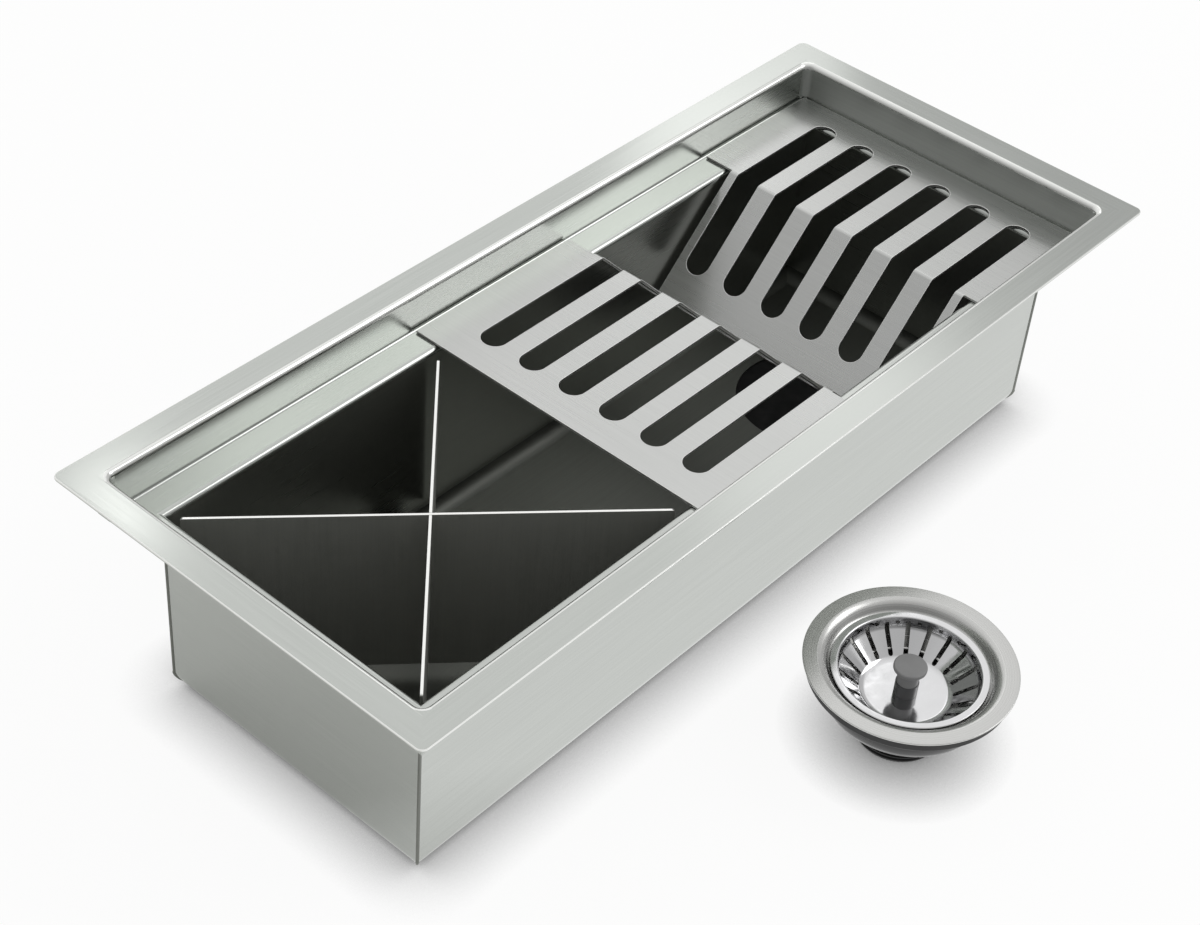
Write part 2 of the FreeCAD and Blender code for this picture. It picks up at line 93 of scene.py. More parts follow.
def noise(tree: bpy.types.NodeTree, size_mm: float, detail: float) -> bpy.types.NodeSocket:
    """Even noise on the piece's own coordinates.

    Args:
        tree: Node tree of the material.
        size_mm: Size of the noise's patches.
        detail: Finer layers on top of them.

    Returns:
        The noise's value.
    """
    place = add_node(tree, "ShaderNodeTexCoord").outputs["Object"]
    made = add_node(tree, "ShaderNodeTexNoise", {"Scale": 1 / (size_mm * MM), "Detail": detail}, {"Vector": place})
    return made.outputs[0]


def remap(tree: bpy.types.NodeTree, value: bpy.types.NodeSocket, span: tuple[float, float],
          target: tuple[float, float]) -> bpy.types.NodeSocket:
    """Moves a value from one range to another.

    Args:
        tree: Node tree of a material or of the world.
        value: The value.
        span: Ends of the range that it comes from.
        target: Ends of the range that it goes to.

    Returns:
        The moved value, which stays inside the target.
    """
    ends = {"From Min": span[0], "From Max": span[1], "To Min": target[0], "To Max": target[1]}
    return add_node(tree, "ShaderNodeMapRange", ends, {"Value": value}).outputs["Result"]


def shades(tree: bpy.types.NodeTree, value: bpy.types.NodeSocket, dark: str, light: str) -> bpy.types.NodeSocket:
    """Colour that runs from dark to light over a noise's usual range.

    Args:
        tree: Node tree of the material.
        value: The noise's value.
        dark: Hex colour at its low end.
        light: Hex colour at its high end.

    Returns:
        The colour.
    """
    ramp = add_node(tree, "ShaderNodeValToRGB", links={0: value})
    for element, position, colour in zip(ramp.color_ramp.elements, NOISE_RANGE, (dark, light)):
        element.position = position
        element.color = linear(colour)
    return ramp.outputs["Color"]


def bumped(tree: bpy.types.NodeTree, height: bpy.types.NodeSocket, strength: float, rise_mm: float,
           under: bpy.types.NodeSocket | None = None) -> bpy.types.NodeSocket:
    """Slope of a fine relief.

    Args:
        tree: Node tree of the material.
        height: Value that gives the height.
        strength: Share of the relief that shows.
        rise_mm: Height of the relief.
        under: Slope of a coarser relief below it.

    Returns:
        The normal.
    """
    links = {"Height": height, **({} if under is None else {"Normal": under})}
    return add_node(tree, "ShaderNodeBump", {"Strength": strength, "Distance": rise_mm * MM}, links).outputs["Normal"]


class Grain(Enum):
    """Way in which the brush ran over a steel surface."""

    ALONG_X = "x"
    ALONG_Y = "y"
    ALONG_Z = "z"
    ROUND = "round"


@dataclass(frozen=True)
class Finish:
    """A real surface, made into one procedural material."""

    name: str

    def material(self) -> bpy.types.Material:
        """Makes the material, or finds it where it was made before.

        Returns:
            The material of the finish's name.
        """
        made = bpy.data.materials.get(self.name)
        if made is None:
            made = bpy.data.materials.new(self.name)
            made.use_nodes = True
            shader = made.node_tree.nodes["Principled BSDF"]
            for socket, value in self.plain().items():
                shader.inputs[socket].default_value = value
            for socket, pattern in self.patterns(made.node_tree).items():
                made.node_tree.links.new(pattern, shader.inputs[socket])
        return made

    def plain(self) -> dict[str, object]:
        """Values of the shader's sockets that are the same all over."""
        return {}

    def patterns(self, tree: bpy.types.NodeTree) -> dict[str, bpy.types.NodeSocket]:
        """Patterns of the shader's other sockets, made in the material's node tree."""
        raise NotImplementedError


@dataclass(frozen=True)
class BrushedSteel(Finish):
    """Stainless steel 304, brushed with a belt or on a lathe: soft streaks along the brush, no clear mirror image.

    The real scratches are about 0.1 mm wide, too fine to show, so they are drawn as coarse as line_mm.
    Rolled sheet is never quite flat: its slow waves, wave_mm long, break the light into soft patches.
    """

    light: str = "#c2c5c1"
    dark: str = "#bcbfbb"
    smooth: float = 0.14
    rough: float = 0.2
    grain: Grain = Grain.ALONG_X
    line_mm: float = 0.9
    run_mm: float = 60.0
    relief: float = 0.01
    relief_mm: float = 0.05
    wave_mm: float = 110.0
    wave_rise_mm: float = 0.3
    centre: tuple[float, float] = (0.0, 0.0)

    def plain(self) -> dict[str, object]:
        """Bare metal all over."""
        return {"Metallic": 1.0}

    def patterns(self, tree: bpy.types.NodeTree) -> dict[str, bpy.types.NodeSocket]:
        """Streaks in colour, gloss and relief, over the sheet's slow waves.

        Args:
            tree: Node tree of the material.

        Returns:
            Colour, roughness and normal by socket.
        """
        streaks = self.streaks(tree)
        clouds = noise(tree, self.wave_mm, 0.0)
        both = add_node(tree, "ShaderNodeMath", {"operation": "ADD"}, {0: streaks, 1: clouds}).outputs[0]
        waves = bumped(tree, clouds, 1.0, self.wave_rise_mm)
        return {
            "Base Color": shades(tree, streaks, self.dark, self.light),
            "Roughness": remap(tree, both, TWO_NOISES_RANGE, (self.smooth, self.rough)),
            "Normal": bumped(tree, streaks, self.relief, self.relief_mm, waves),
        }

    def streaks(self, tree: bpy.types.NodeTree) -> bpy.types.NodeSocket:
        """Noise drawn out along the brush's way.

        Args:
            tree: Node tree of the material.

        Returns:
            The noise's value, about 0.3 to 0.7.
        """
        place = add_node(tree, "ShaderNodeTexCoord").outputs["Object"]
        across = 1 / (self.line_mm * MM)
        along = 1 / (self.run_mm * MM)
        fine = {"Scale": 1.0, "Detail": 3.0, "Roughness": 0.6}
        if self.grain is Grain.ROUND:
            shift = (-self.centre[0], -self.centre[1], 0.0)
            centred = add_node(tree, "ShaderNodeMapping", {"Location": shift}, {"Vector": place})
            level = add_node(tree, "ShaderNodeVectorMath", {"operation": "MULTIPLY", 1: (across, across, 0.0)},
                             {0: centred.outputs["Vector"]})
            radius = add_node(tree, "ShaderNodeVectorMath", {"operation": "LENGTH"}, {0: level.outputs["Vector"]})
            lines = add_node(tree, "ShaderNodeTexNoise", {"noise_dimensions": "1D", **fine},
                             {"W": radius.outputs["Value"]})
            return lines.outputs[0]
        scale = tuple(along if self.grain.value == axis else across for axis in "xyz")
        drawn = add_node(tree, "ShaderNodeMapping", {"Scale": scale}, {"Vector": place})
        return add_node(tree, "ShaderNodeTexNoise", fine, {"Vector": drawn.outputs["Vector"]}).outputs[0]


@dataclass(frozen=True)
class PolishedChrome(Finish):
    """Bright polished steel: a clear mirror, with slight waves where the press drew the sheet."""

    colour: str = "#dcdcdd"
    smooth: float = 0.05
    rough: float = 0.14
    wave_mm: float = 7.0
    wave_rise_mm: float = 0.3
    relief: float = 0.06

    def plain(self) -> dict[str, object]:
        """Bare metal of one colour."""
        return {"Metallic": 1.0, "Base Color": linear(self.colour)}

    def patterns(self, tree: bpy.types.NodeTree) -> dict[str, bpy.types.NodeSocket]:
        """Slight waves in gloss and relief.

        Args:
            tree: Node tree of the material.

        Returns:
            Roughness and normal by socket.
        """
        wave = noise(tree, self.wave_mm, 1.0)
        return {
            "Roughness": remap(tree, wave, NARROW_NOISE_RANGE, (self.smooth, self.rough)),
            "Normal": bumped(tree, wave, self.relief, self.wave_rise_mm),
        }


@dataclass(frozen=True)
class Moulded(Finish):
    """Moulded plastic or rubber: one colour all through, with a fine texture from the mould."""

    light: str
    dark: str
    roughness: float
    spread: float = 0.15
    flow_mm: float = 12.0
    grit_mm: float = 0.8
    grit_rise_mm: float = 0.1
    relief: float = 0.08

    def patterns(self, tree: bpy.types.NodeTree) -> dict[str, bpy.types.NodeSocket]:
        """Slow flow marks in colour and gloss, and the mould's grit in relief.

        Args:
            tree: Node tree of the material.

        Returns:
            Colour, roughness and normal by socket.
        """
        grit = noise(tree, self.grit_mm, 2.0)
        flow = noise(tree, self.flow_mm, 2.0)
        gloss = ((1 - self.spread) * self.roughness, (1 + self.spread) * self.roughness)
        return {
            "Base Color": shades(tree, flow, self.dark, self.light),
            "Roughness": remap(tree, flow, NOISE_RANGE, gloss),
            "Normal": bumped(tree, grit, self.relief, self.grit_rise_mm),
        }


@dataclass(frozen=True)
class PaleEdgeHighlight(Finish):
    """Cut edge of steel sheet, nearly white and matt: painted highlight along the eased edges."""

    light: str = "#fafaf8"
    dark: str = "#ededea"
    pit_mm: float = 0.5

    def plain(self) -> dict[str, object]:
        """Partly metal, and matt."""
        return {"Metallic": 0.3, "Roughness": 0.5}

    def patterns(self, tree: bpy.types.NodeTree) -> dict[str, bpy.types.NodeSocket]:
        """Fine pits in the colour, made in the material's node tree."""
        return {"Base Color": shades(tree, noise(tree, self.pit_mm, 2.0), self.dark, self.light)}


def merged_copy(node: str) -> bmesh.types.BMesh:
    """Copies a CAD node's mesh, with its points merged and its flat faces joined.

    Args:
        node: Name of the CAD node.

    Returns:
        The copy.
    """
    bm = bmesh.new()
    bm.from_mesh(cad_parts[node].data)
    bmesh.ops.remove_doubles(bm, verts=bm.verts, dist=0.01 * MM)
    bmesh.ops.dissolve_limit(bm, angle_limit=math.radians(0.5), verts=bm.verts, edges=bm.edges)
    bm.normal_update()
    return bm


def ease_edges(bm: bmesh.types.BMesh, width_mm: float, chosen: Callable[[Edge], bool],
               least_angle: float = 50.0) -> list[Face]:
    """Rounds the sharp edges of a sheet.

    Args:
        bm: Mesh whose edges are eased.
        width_mm: Width of the easing on each side of an edge.
        chosen: Says whether a sharp edge is eased.
        least_angle: Least turn at an edge, in degrees, that counts as sharp.

    Returns:
        The new faces along the edges.
    """
    edges = [edge for edge in bm.edges
             if edge.is_manifold and edge.calc_face_angle() > math.radians(least_angle) and chosen(edge)]
    made = bmesh.ops.bevel(bm, geom=edges, offset=width_mm * MM, offset_type="OFFSET", segments=2, profile=0.5,
                           affect="EDGES", material=-1, clamp_overlap=True)
    bm.normal_update()
    return made["faces"]


def finish_piece(name: str, bm: bmesh.types.BMesh, finishes: list[Finish], body: str,
                 nodes: Iterable[str] = ()) -> bpy.types.Object:
    """Turns a bmesh into a piece of the object.

    Args:
        name: Name of the piece.
        bm: Mesh of the piece, which is freed.
        finishes: Finish of each material index.
        body: Body that the piece rides on.
        nodes: CAD nodes that the piece stands for.

    Returns:
        The new object.
    """
    mesh = bpy.data.meshes.new(name)
    bm.to_mesh(mesh)
    bm.free()
    if "custom_normal" in mesh.attributes:
        mesh.attributes.remove(mesh.attributes["custom_normal"])
    for finish in finishes:
        mesh.materials.append(finish.material())
    mesh.shade_smooth()
    mesh.set_sharp_from_angle(angle=math.radians(38))
    piece = bpy.data.objects.new(name, mesh)
    bpy.context.scene.collection.objects.link(piece)
    weighted = piece.modifiers.new("even_faces", "WEIGHTED_NORMAL")
    weighted.keep_sharp = True
    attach(piece, body)
    if nodes:
        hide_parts(*nodes)
    log.info("%s: %d faces", name, len(mesh.polygons))
    return piece


def spun(points: list[tuple[float, float, float]], steps: int = 96) -> bmesh.types.BMesh:
    """Closed turned form about the Z axis.

    Args:
        points: Radius, height and easing of each corner of the closed outline, in mm.
        steps: Facets round the axis.

    Returns:
        The turned mesh, in metres.
    """
    bm = bmesh.new()
    verts = [bm.verts.new((radius * MM, 0, height * MM)) for radius, height, _ in points]
    edges = [bm.edges.new(pair) for pair in zip(verts, verts[1:])]
    if points[0][0] > 0:
        edges.append(bm.edges.new((verts[-1], verts[0])))
    bmesh.ops.spin(bm, geom=verts + edges, cent=(0, 0, 0), axis=(0, 0, 1), angle=math.tau, steps=steps,
                   use_merge=True)
    bmesh.ops.remove_doubles(bm, verts=bm.verts, dist=0.001 * MM)
    bmesh.ops.recalc_face_normals(bm, faces=bm.faces)
    for width in sorted({easing for _, _, easing in points if easing}):
        corners = [(radius, height) for radius, height, easing in points if easing == width]
        rings = [edge for edge in bm.edges if any(on_ring(edge, *corner) for corner in corners)]
        bmesh.ops.bevel(bm, geom=rings, offset=width * MM, offset_type="OFFSET", segments=4, profile=0.5,
                        affect="EDGES", material=-1, clamp_overlap=True)
    return bm


def on_ring(edge: Edge, radius: float, height: float) -> bool:
    """Whether an edge lies on the circle of a radius and height, in mm, about the Z axis."""
    return all(abs(v.co.xy.length - radius * MM) < 1e-6 and abs(v.co.z - height * MM) < 1e-6 for v in edge.verts)


def add_bar(bm: bmesh.types.BMesh, low: tuple[float, float, float], high: tuple[float, float, float],
            turn: float = 0.0) -> list[Edge]:
    """Adds a box between two corners in mm, turned about the Z axis by an angle in degrees.

    Args:
        bm: Mesh that gets the box.
        low: Lowest corner.
        high: Highest corner.
        turn: Angle in degrees.

    Returns:
        The edges of the box.
    """
    size = Vector(high) - Vector(low)
    middle = (Vector(high) + Vector(low)) / 2
    place = Matrix.Rotation(math.radians(turn), 4, "Z") @ Matrix.Translation(middle * MM)
    made = bmesh.ops.create_cube(bm, size=1.0, matrix=place @ Matrix.Diagonal((*(size * MM), 1.0)))
    return list({edge for vert in made["verts"] for edge in vert.link_edges})


def cut_away(bm: bmesh.types.BMesh, cutter: bmesh.types.BMesh) -> bmesh.types.BMesh:
    """Cuts the volume of one closed mesh out of another.

    Args:
        bm: Mesh that is cut, which is freed.
        cutter: Mesh whose volume goes, which is freed.

    Returns:
        The mesh that is left.
    """
    holders = []
    for source in (bm, cutter):
        mesh = bpy.data.meshes.new("cut_work")
        source.to_mesh(mesh)
        source.free()
        holder = bpy.data.objects.new("cut_work", mesh)
        bpy.context.scene.collection.objects.link(holder)
        holders.append(holder)
    work, tool = holders
    cut = work.modifiers.new("cut", "BOOLEAN")
    cut.operation = "DIFFERENCE"
    cut.solver = "EXACT"
    cut.object = tool
    bpy.context.view_layer.update()
    left = bmesh.new()
    result = bpy.data.meshes.new_from_object(work.evaluated_get(bpy.context.evaluated_depsgraph_get()))
    left.from_mesh(result)
    for holder in holders:
        mesh = holder.data
        bpy.data.objects.remove(holder)
        bpy.data.meshes.remove(mesh)
    bpy.data.meshes.remove(result)
    return left


class Surface(IntEnum):
    """Material index of each surface of a folded side."""

    OUTSIDE = 0
    # Darker steel of the bowl's walls: painted shade.
    BOWL = 1
    STEP = 2
    # Lighter polished steel of the folds and rim edge: painted highlight.
    BRIGHT = 3
    # Darkest steel at the bottom of the bowl: painted shade.
    FLOOR = 4


@dataclass
class SheetTrough:
    """The folded trough: four welded sides and the floor pan."""

    ledge_z_mm: float = 122.0
    inside_x_mm: float = 261.5
    inside_y_mm: float = 89.0
    ledge_mm: float = 19.5
    fold_z_mm: float = 11.0
    edge_mm: float = 0.35
    sheet_mm: float = 1.5
    rim_edge_mm: float = 0.6
    rim_fold_mm: float = 3.5
    foot_fold_mm: float = 10.0
    bead_mm: float = 0.9
    rim_z_mm: float = 147.0
    tray_room_mm: float = 2.2
    fillet_mm: float = 5.0

    @property
    def middle_x(self) -> float:
        """Middle of the trough along its length, in metres."""
        low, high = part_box("front_panel")
        return (low.x + high.x) / 2

    def build(self) -> None:
        """Makes the four sides, the floor, the outer weld beads and the inner corner welds."""
        for node in ("front_panel", "back_panel"):
            self.side(node, Grain.ALONG_X)
        for node in ("left_end_panel", "right_end_panel"):
            self.side(node, Grain.ALONG_Y)
        self.floor()
        self.weld_beads()
        self.corner_fillets()

    def side(self, node: str, grain: Grain) -> None:
        """Makes one folded side: a rim edge and rim fold lightened as painted highlight, a bowl darkened as painted
        shade and a soft step wall.

        Args:
            node: CAD node of the side.
            grain: Way of the brush on it.
        """
        outside, step, bright = self.upper_finishes(grain)
        # The bowl's steel is darker than the same sheet outside: painted shade below the ledge.
        inside = BrushedSteel(f"steel_304_bowl_painted_shade_{grain.value}", light="#b4b6b1", dark="#b0b2ad",
                              smooth=0.27, rough=0.31, grain=grain, relief=0.0, wave_rise_mm=0.0)
        bm = merged_copy(node)
        rim_edges = ease_edges(bm, self.rim_edge_mm, self.is_rim_edge)
        ease_edges(bm, self.edge_mm, self.is_sheet_edge)
        for face in bm.faces:
            low = face.calc_center_median().z < self.fold_z_mm * MM
            if self.in_bowl(face):
                face.material_index = Surface.FLOOR if low else Surface.BOWL
            elif self.is_step(face):
                face.material_index = Surface.STEP
            else:
                face.material_index = Surface.BRIGHT if self.is_rim_fold(face) else Surface.OUTSIDE
        # The rim's fold and outer edge take the lighter polished steel: painted highlight.
        for face in rim_edges:
            if face.is_valid:
                face.material_index = Surface.BRIGHT
        finish_piece(f"{node}_sheet", bm, [outside, inside, step, bright, self.bowl_floor_shade_steel()], "trough",
                     [node])

    @staticmethod
    def upper_finishes(grain: Grain) -> tuple[BrushedSteel, BrushedSteel, PolishedChrome]:
        """Finishes of the rim and outside, of the step wall and of the folds and edges between them, the last
        lightened as painted highlight.

        Args:
            grain: Way of the brush.

        Returns:
            The three finishes.
        """
        smooth = 0.2 if grain is Grain.ALONG_X else 0.46
        outside = BrushedSteel(f"brushed_steel_304_{grain.value}", grain=grain)
        step = BrushedSteel(f"brushed_steel_304_step_{grain.value}", dark="#b8bbb7", smooth=smooth, rough=smooth + 0.1,
                            grain=grain, wave_rise_mm=0.0)
        # The polished folds and edges are paler than the sheet: painted highlight.
        return outside, step, PolishedChrome("polished_rim_edge_painted_highlight", colour="#ecedea", smooth=0.12, rough=0.2)

    def floor(self) -> None:
        """Makes the floor pan with its pressed drain seat, in the darkest steel: painted shade at the bottom of the
        bowl.
        """
        bm = merged_copy("floor_pan")
        finish_piece("floor_pan_sheet", bm, [self.bowl_floor_shade_steel()], "trough", ["floor_pan"])

    def weld_beads(self) -> None:
        """Makes the slim weld bead down each upright corner and round its foot."""
        weld = BrushedSteel("ground_weld_seam", light="#8b8d88", dark="#747671", smooth=0.4, rough=0.5,
                            grain=Grain.ALONG_Z, wave_rise_mm=0.0)
        out = self.sheet_mm - 0.2
        top = self.ledge_z_mm - self.rim_fold_mm
        bend = self.foot_fold_mm - self.bead_mm - 0.1
        for number, turn in enumerate((45, 135, 225, 315)):
            bm = bmesh.new()
            ring = bmesh.ops.create_circle(bm, segments=12, radius=self.bead_mm * MM)["verts"]
            edges = list({edge for vert in ring for edge in vert.link_edges})
            raised = bmesh.ops.extrude_edge_only(bm, edges=edges)["geom"]
            bmesh.ops.translate(bm, vec=(0, 0, (top - self.foot_fold_mm) * MM),
                                verts=[item for item in raised if isinstance(item, bmesh.types.BMVert)])
            bmesh.ops.spin(bm, geom=ring + edges, cent=(bend * MM, 0, 0), axis=(0, 1, 0),
                           angle=math.radians(-90), steps=12)
            foot = [vert for vert in bm.verts if vert.co.z < -1e-6]
            bmesh.ops.scale(bm, vec=(math.sqrt(2), 1, 1), verts=foot)
            bmesh.ops.holes_fill(bm, edges=[edge for edge in bm.edges if edge.is_boundary])
            bmesh.ops.recalc_face_normals(bm, faces=bm.faces)
            side_x = -math.copysign(self.inside_x_mm + out, math.cos(math.radians(turn)))
            side_y = -math.copysign(self.inside_y_mm + out, math.sin(math.radians(turn)))
            place = Matrix.Translation((self.middle_x + side_x * MM, side_y * MM, self.foot_fold_mm * MM))
            bmesh.ops.transform(bm, matrix=place @ Matrix.Rotation(math.radians(turn), 4, "Z"), verts=bm.verts)
            finish_piece(f"weld_bead_{number + 1}", bm, [weld], "trough")

    def corner_fillets(self) -> None:
        """Makes the ground weld that rounds each inner corner between the rim and the ledge, above the trays."""
        radius, wide = self.fillet_mm * MM, (self.rim_fold_mm + 0.5) * MM
        high = (self.rim_z_mm - 0.02) * MM
        outside, step, bright = self.upper_finishes(Grain.ALONG_Y)
        for number, (end, side) in enumerate(((1, 1), (-1, 1), (-1, -1), (1, -1))):
            low = (self.ledge_z_mm + (self.tray_room_mm if end > 0 else 0.02)) * MM
            bm = bmesh.new()
            start = bm.verts.new((-radius, 0, low))
            last = bmesh.ops.spin(bm, geom=[start], cent=(-radius, -radius, low), axis=(0, 0, 1),
                                  angle=math.radians(-90), steps=8)["geom_last"][0]
            outer = [bm.verts.new((x, y, low)) for x, y in ((wide, -radius), (wide, wide), (-radius, wide))]
            for pair in zip((last, *outer), (*outer, start)):
                bm.edges.new(pair)
            foot = bmesh.ops.contextual_create(bm, geom=bm.edges[:])["faces"]
            raised = bmesh.ops.extrude_face_region(bm, geom=foot)["geom"]
            bmesh.ops.translate(bm, vec=(0, 0, high - low),
                                verts=[item for item in raised if isinstance(item, bmesh.types.BMVert)])
            bmesh.ops.recalc_face_normals(bm, faces=bm.faces)
            centre = Vector((-radius, -radius, high))
            arc = [edge for edge in bm.edges
                   if all(abs((vert.co - centre).length - radius) < 1e-6 for vert in edge.verts)]
            folds = bmesh.ops.bevel(bm, geom=arc, offset=self.rim_fold_mm * MM, offset_type="OFFSET", segments=6,
                                    profile=0.5, affect="EDGES", material=-1, clamp_overlap=True)["faces"]
            bm.normal_update()
            for face in bm.faces:
                face.material_index = 1 if abs(face.normal.z) < 0.01 else 0
            # The rounded fold takes the lighter polished steel: painted highlight.
            for face in folds:
                face.material_index = 2
            corner = Vector((self.middle_x + end * (self.inside_x_mm + self.ledge_mm) * MM,
                             side * (self.inside_y_mm + self.ledge_mm) * MM, 0))
            place = Matrix.Translation(corner) @ Matrix.Rotation(math.radians(90 * number), 4, "Z")
            bmesh.ops.transform(bm, matrix=place, verts=bm.verts)
            finish_piece(f"corner_fillet_{number + 1}", bm, [outside, step, bright], "trough")

    @staticmethod
    def bowl_floor_shade_steel() -> BrushedSteel:
        """Steel of the floor and of the fold round it, much darker than the sides: painted shade at the bottom of the
        bowl.
        """
        return BrushedSteel("steel_304_bowl_floor_painted_shade", light="#767873", dark="#6f716c", smooth=0.45, rough=0.55,
                            wave_rise_mm=0.0)

    def within(self, face: Face, beyond_mm: float) -> bool:
        """Whether a face lies inside the bowl's plan, widened all round by a distance."""
        spot = (face.calc_center_median() - Vector((self.middle_x, 0, 0))) / MM
        return abs(spot.x) < self.inside_x_mm + beyond_mm and abs(spot.y) < self.inside_y_mm + beyond_mm

    def in_bowl(self, face: Face) -> bool:
        """Whether a face looks into the bowl, below the ledge."""
        level = face.calc_center_median().z / MM
        return self.within(face, 0.1) and 1.0 < level < self.ledge_z_mm - 0.5 and face.normal.z > -0.05

    def is_step(self, face: Face) -> bool:
        """Whether a face is the step wall between the ledge and the rim, seen from inside."""
        level = face.calc_center_median().z / MM
        return self.within(face, self.ledge_mm + 0.1) and level > self.ledge_z_mm + 2.5 and abs(face.normal.z) < 0.1

    @staticmethod
    def is_mitre(face: Face) -> bool:
        """Whether a face is a mitred end, which the weld closes."""
        return abs(abs(face.normal.x) - abs(face.normal.y)) < 0.01 and abs(face.normal.z) < 0.01

    def is_rim_edge(self, edge: Edge) -> bool:
        """Whether an edge is the upper outer edge of the rim."""
        upward = any(face.normal.z > 0.99 for face in edge.link_faces)
        outward = any(abs(face.normal.z) < 0.01 and not self.is_mitre(face) for face in edge.link_faces)
        outer = not any(self.within(face, self.ledge_mm + 5.0) for face in edge.link_faces)
        return upward and outward and outer

    def is_rim_fold(self, face: Face) -> bool:
        """Whether a face is part of the fold from the rim into the step wall, seen from above."""
        level = face.calc_center_median().z / MM
        return (self.within(face, self.ledge_mm + self.rim_fold_mm) and level > self.ledge_z_mm + 20.0
                and 0.02 < face.normal.z < 0.995)

    def is_sheet_edge(self, edge: Edge) -> bool:
        """Whether an edge is a cut edge of the sheet, away from the welds."""
        return not any(map(self.is_mitre, edge.link_faces))


@dataclass
class DrainerTrays:
    """The two bent slotted trays that rest on the ledge."""

    edge_mm: float = 0.8

    def build(self) -> None:
        """Makes both trays, with nearly white eased edges round the slots: painted highlight."""
        sheet = BrushedSteel("brushed_steel_304_tray", light="#cacbc9", dark="#c3c4c2", smooth=0.25, rough=0.33,
                             grain=Grain.ALONG_Y)
        bright = PaleEdgeHighlight("pale_steel_edge_painted_highlight")
        for side in ("left", "right"):
            node = f"{side}_drainer_tray"
            bm = merged_copy(node)
            for face in ease_edges(bm, self.edge_mm, lambda edge: True):
                face.material_index = 1
            finish_piece(f"{node}_sheet", bm, [sheet, bright], f"{side}_tray", [node])


@dataclass
class CrossDivider:
    """The two half-lapped plates in the left bay."""

    top_z_mm: float = 119.0
    edge_mm: float = 0.1

    def build(self) -> None:
        """Makes both plates, dark on their faces and near white along the ground top edge: painted highlight."""
        face_steel = BrushedSteel("blasted_steel_304_divider", light="#babbb6", dark="#b1b2ad", smooth=0.62,
                                  rough=0.74, grain=Grain.ALONG_Z, relief=0.02)
        # The top edge's near-white colour is painted highlight.
        bright = PolishedChrome("ground_steel_edge_painted_highlight", colour="#f7f7f4", smooth=0.1, rough=0.18)
        for node in ("divider_plate", "divider_cross_plate"):
            bm = merged_copy(node)
            ease_edges(bm, self.edge_mm, lambda edge: True)
            for face in bm.faces:
                top = face.calc_center_median().z > (self.top_z_mm - 0.6) * MM
                face.material_index = 1 if top and face.normal.z > 0.3 else 0
            finish_piece(f"{node}_sheet", bm, [face_steel, bright], "divider", [node])


